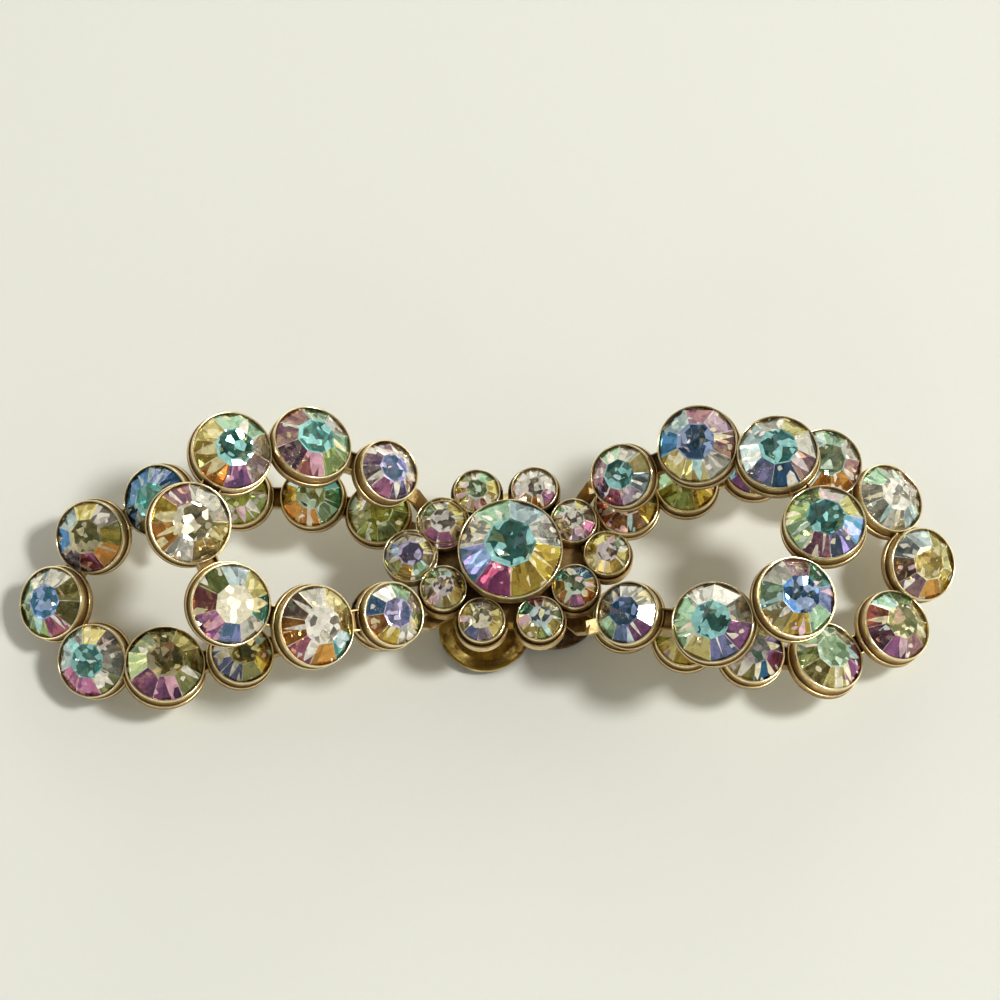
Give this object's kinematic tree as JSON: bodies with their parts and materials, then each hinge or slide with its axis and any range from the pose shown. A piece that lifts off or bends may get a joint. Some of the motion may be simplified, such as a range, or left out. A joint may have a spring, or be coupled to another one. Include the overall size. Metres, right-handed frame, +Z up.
{
  "type": "shoe clip",
  "caption": "Costume shoe clip shaped as a two-layer bow set with iridescent cut-glass stones, with a flower in the middle and a folded clip behind.",
  "frame": {"origin": "on the underside of the clip's tongue, straight below the rivet", "axes": "+X along the bow, to the right as it lies in the picture, +Y to the back, +Z up through the flower"},
  "size_m": [0.0769, 0.0234, 0.0164],
  "materials": {
    "gilt_brass": "worn gilt plate with brown tarnish in the hollows",
    "clip_brass": "stained brass",
    "iridescent_glass": "clear cut glass with an iridescent coat and a foiled back"
  },
  "bodies": {
    "root": {"clip": "clip_brass", "lower_frame": "gilt_brass", "upper_frame": "gilt_brass", "flower_frame": "gilt_brass", "rivet": "gilt_brass", "centre_stone": "iridescent_glass", "ring_stones": "iridescent_glass", "upper_left_stone_1": "iridescent_glass", "upper_left_stone_2": "iridescent_glass", "upper_left_stone_3": "iridescent_glass", "upper_left_stone_4": "iridescent_glass", "upper_left_stone_5": "iridescent_glass", "upper_left_stone_6": "iridescent_glass", "upper_left_stone_7": "iridescent_glass", "upper_right_stone_1": "iridescent_glass", "upper_right_stone_2": "iridescent_glass", "upper_right_stone_3": "iridescent_glass", "upper_right_stone_4": "iridescent_glass", "upper_right_stone_5": "iridescent_glass", "upper_right_stone_6": "iridescent_glass", "upper_right_stone_7": "iridescent_glass", "lower_left_stone_1": "iridescent_glass", "lower_left_stone_2": "iridescent_glass", "lower_left_stone_3": "iridescent_glass", "lower_left_stone_4": "iridescent_glass", "lower_left_stone_5": "iridescent_glass", "lower_left_stone_6": "iridescent_glass", "lower_left_stone_7": "iridescent_glass", "lower_left_stone_8": "iridescent_glass", "lower_left_stone_9": "iridescent_glass", "lower_left_stone_10": "iridescent_glass", "lower_left_stone_11": "iridescent_glass", "lower_right_stone_1": "iridescent_glass", "lower_right_stone_2": "iridescent_glass", "lower_right_stone_3": "iridescent_glass", "lower_right_stone_4": "iridescent_glass", "lower_right_stone_5": "iridescent_glass", "lower_right_stone_6": "iridescent_glass", "lower_right_stone_7": "iridescent_glass", "lower_right_stone_8": "iridescent_glass", "lower_right_stone_9": "iridescent_glass", "lower_right_stone_10": "iridescent_glass", "lower_right_stone_11": "iridescent_glass"}
  },
  "joints": []
}
